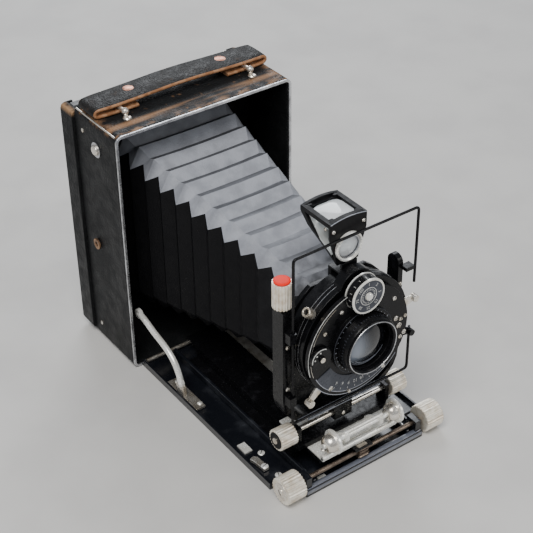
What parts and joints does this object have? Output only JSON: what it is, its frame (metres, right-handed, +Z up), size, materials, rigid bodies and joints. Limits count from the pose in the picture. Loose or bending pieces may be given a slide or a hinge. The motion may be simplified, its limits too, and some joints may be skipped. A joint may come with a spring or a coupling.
{
  "type": "folding plate camera",
  "caption": "Folding plate camera standing open on its drop bed: leather body, bellows, rack-focused lens standard, dial-set shutter, brilliant finder and wire finder.",
  "frame": {"origin": "centre of the open camera's footprint, on the table", "axes": "+Z up; the lens looks along -Y and the focusing back is at +Y; +X is to the right seen from the front"},
  "size_m": [0.122, 0.21, 0.1676],
  "materials": {
    "leather": "pebbled black leather covering, scuffed at the edges",
    "strap_leather": "pebbled black strap leather with raw tan edges",
    "black_lacquer": "black stove enamel, satin",
    "nickel": "nickel plate, warm, slightly tarnished",
    "steel": "plain steel",
    "bellows_cloth": "thin black leather over cloth, folded",
    "glass": "coated by age, clear",
    "mirror": "silvered",
    "red_enamel": "orange-red enamel",
    "brass": "brown aged brass"
  },
  "bodies": {
    "camera_body": {"body_shell": "leather", "front_rim": "nickel", "rear_bulkhead": "black_lacquer", "tripod_bush": "brass", "side_tripod_bush": "brass", "back_frame": "leather", "bed_plate": "black_lacquer", "bed_hinge_pin": "steel", "bed_rail_left": "nickel", "bed_rail_right": "nickel", "bed_strut_left": "nickel", "bed_strut_right": "nickel", "strut_foot_left": "nickel", "strut_foot_right": "nickel", "bellows": "bellows_cloth", "handle_strap": "strap_leather", "handle_lug_left": "nickel", "handle_lug_right": "nickel"},
    "release_button": {"bed_release_button": "nickel"},
    "bed_lock": {"bed_lock_lever": "nickel"},
    "ground_glass_back": {"ground_glass_frame": "black_lacquer", "ground_glass": "glass", "hood_hinge_pin": "steel"},
    "hood": {"hood_cover": "leather"},
    "focus_pinion": {"pinion_shaft": "steel", "focus_knob_left": "nickel", "focus_knob_right": "nickel"},
    "focus_carriage": {"carriage_plate": "black_lacquer", "focus_rack": "steel"},
    "standard": {"standard_base": "nickel", "shift_base": "black_lacquer", "grip_bracket": "nickel"},
    "shift_drive": {"shift_screw": "nickel", "shift_knob_left": "nickel", "shift_knob_right": "nickel"},
    "grip_left": {"finger_grip_left": "nickel"},
    "grip_right": {"finger_grip_right": "nickel"},
    "u_standard": {"u_frame": "black_lacquer"},
    "rise_drive": {"rise_knob": "nickel", "rise_knob_cap": "red_enamel"},
    "wire_finder": {"wire_frame": "black_lacquer"},
    "lens_panel": {"lens_board": "black_lacquer", "shutter_housing": "black_lacquer", "shutter_plate": "black_lacquer", "lens_barrel": "black_lacquer", "front_lens": "glass", "iris_diaphragm": "black_lacquer", "rear_lens_cell": "black_lacquer", "cable_socket": "nickel", "finder_bracket": "nickel", "finder_lens_ring": "nickel"},
    "speed_dial": {"speed_dial": "nickel"},
    "mode_disc": {"mode_disc": "black_lacquer"},
    "aperture_lever": {"aperture_lever": "nickel"},
    "cocking_lever": {"cocking_lever": "nickel"},
    "release_lever": {"release_lever": "nickel"},
    "brilliant_finder": {"finder_body": "black_lacquer", "finder_front_lens": "glass", "finder_mirror": "mirror", "finder_top_lens": "glass"}
  },
  "joints": [
    {"name": "focus_slide", "type": "slide", "parent": "camera_body", "child": "focus_carriage", "axis": [0, -1, 0], "range_m": [0, 0.02], "deforming": ["bellows"]},
    {"name": "pinion_turn", "type": "hinge", "parent": "camera_body", "child": "focus_pinion", "pos_m": [0, -0.09695, 0.0084], "axis": [1, 0, 0], "range_deg": [0, 320]},
    {"name": "standard_slide", "type": "slide", "parent": "focus_carriage", "child": "standard", "axis": [0, 1, 0], "range_m": [0, 0.095], "deforming": ["bellows"]},
    {"name": "cross_shift", "type": "slide", "parent": "standard", "child": "u_standard", "axis": [1, 0, 0], "range_m": [-0.008, 0.008], "deforming": ["bellows"]},
    {"name": "shift_screw_turn", "type": "hinge", "parent": "standard", "child": "shift_drive", "pos_m": [0, -0.07795, 0.0252], "axis": [1, 0, 0], "range_deg": [-290, 290]},
    {"name": "lens_rise", "type": "slide", "parent": "u_standard", "child": "lens_panel", "axis": [0, 0, 1], "range_m": [-0.0012, 0.012], "deforming": ["bellows"]},
    {"name": "rise_screw_turn", "type": "hinge", "parent": "u_standard", "child": "rise_drive", "pos_m": [-0.038, -0.07595, 0.104], "axis": [0, 0, 1], "range_deg": [-110, 1082]},
    {"name": "wire_finder_swing", "type": "hinge", "parent": "u_standard", "child": "wire_finder", "pos_m": [-0.0368, -0.08365, 0.09], "axis": [0, 0, -1], "range_deg": [0, 170]},
    {"name": "finder_turn", "type": "hinge", "parent": "lens_panel", "child": "brilliant_finder", "pos_m": [0, -0.08045, 0.136], "axis": [0, 1, 0], "range_deg": [0, 90]},
    {"name": "speed_dial_turn", "type": "hinge", "parent": "lens_panel", "child": "speed_dial", "pos_m": [0, -0.09345, 0.1146], "axis": [0, 1, 0], "range_deg": [0, 300]},
    {"name": "mode_disc_turn", "type": "hinge", "parent": "lens_panel", "child": "mode_disc", "pos_m": [-0.0276, -0.09345, 0.0855], "axis": [0, 1, 0], "range_deg": [-25, 25]},
    {"name": "aperture_turn", "type": "hinge", "parent": "lens_panel", "child": "aperture_lever", "pos_m": [0, -0.09005, 0.0845], "axis": [0, -1, 0], "range_deg": [-12, 34]},
    {"name": "cocking_turn", "type": "hinge", "parent": "lens_panel", "child": "cocking_lever", "pos_m": [0, -0.09005, 0.0845], "axis": [0, -1, 0], "range_deg": [0, 40]},
    {"name": "release_turn", "type": "hinge", "parent": "lens_panel", "child": "release_lever", "pos_m": [0, -0.09005, 0.0845], "axis": [0, 1, 0], "range_deg": [0, 12], "stiffness_Nm_per_rad": 0.05, "springref_deg": -2.86},
    {"name": "grip_left_squeeze", "type": "slide", "parent": "standard", "child": "grip_left", "axis": [1, 0, 0], "range_m": [0, 0.0025], "stiffness_N_per_m": 800, "springref_m": -0.0015},
    {"name": "grip_right_squeeze", "type": "slide", "parent": "standard", "child": "grip_right", "axis": [-1, 0, 0], "range_m": [0, 0.0025], "stiffness_N_per_m": 800, "springref_m": -0.0015},
    {"name": "bed_lock_turn", "type": "hinge", "parent": "camera_body", "child": "bed_lock", "pos_m": [-0.0475, -0.07245, 0.0031], "axis": [0, 0, 1], "range_deg": [-60, 0]},
    {"name": "release_button_press", "type": "slide", "parent": "camera_body", "child": "release_button", "axis": [1, 0, 0], "range_m": [0, 0.0015], "stiffness_N_per_m": 800, "springref_m": -0.0015},
    {"name": "ground_glass_slide", "type": "slide", "parent": "camera_body", "child": "ground_glass_back", "axis": [0, 0, 1], "range_m": [0, 0.12]},
    {"name": "hood_open", "type": "hinge", "parent": "ground_glass_back", "child": "hood", "pos_m": [0, 0.10415, 0.1524], "axis": [1, 0, 0], "range_deg": [0, 110]}
  ],
  "couplings": [
    {"joint": "pinion_turn", "follows": "focus_slide", "rad_per_m": 275.55},
    {"joint": "shift_screw_turn", "follows": "cross_shift", "rad_per_m": -628.3},
    {"joint": "rise_screw_turn", "follows": "lens_rise", "rad_per_m": 1570.8}
  ]
}
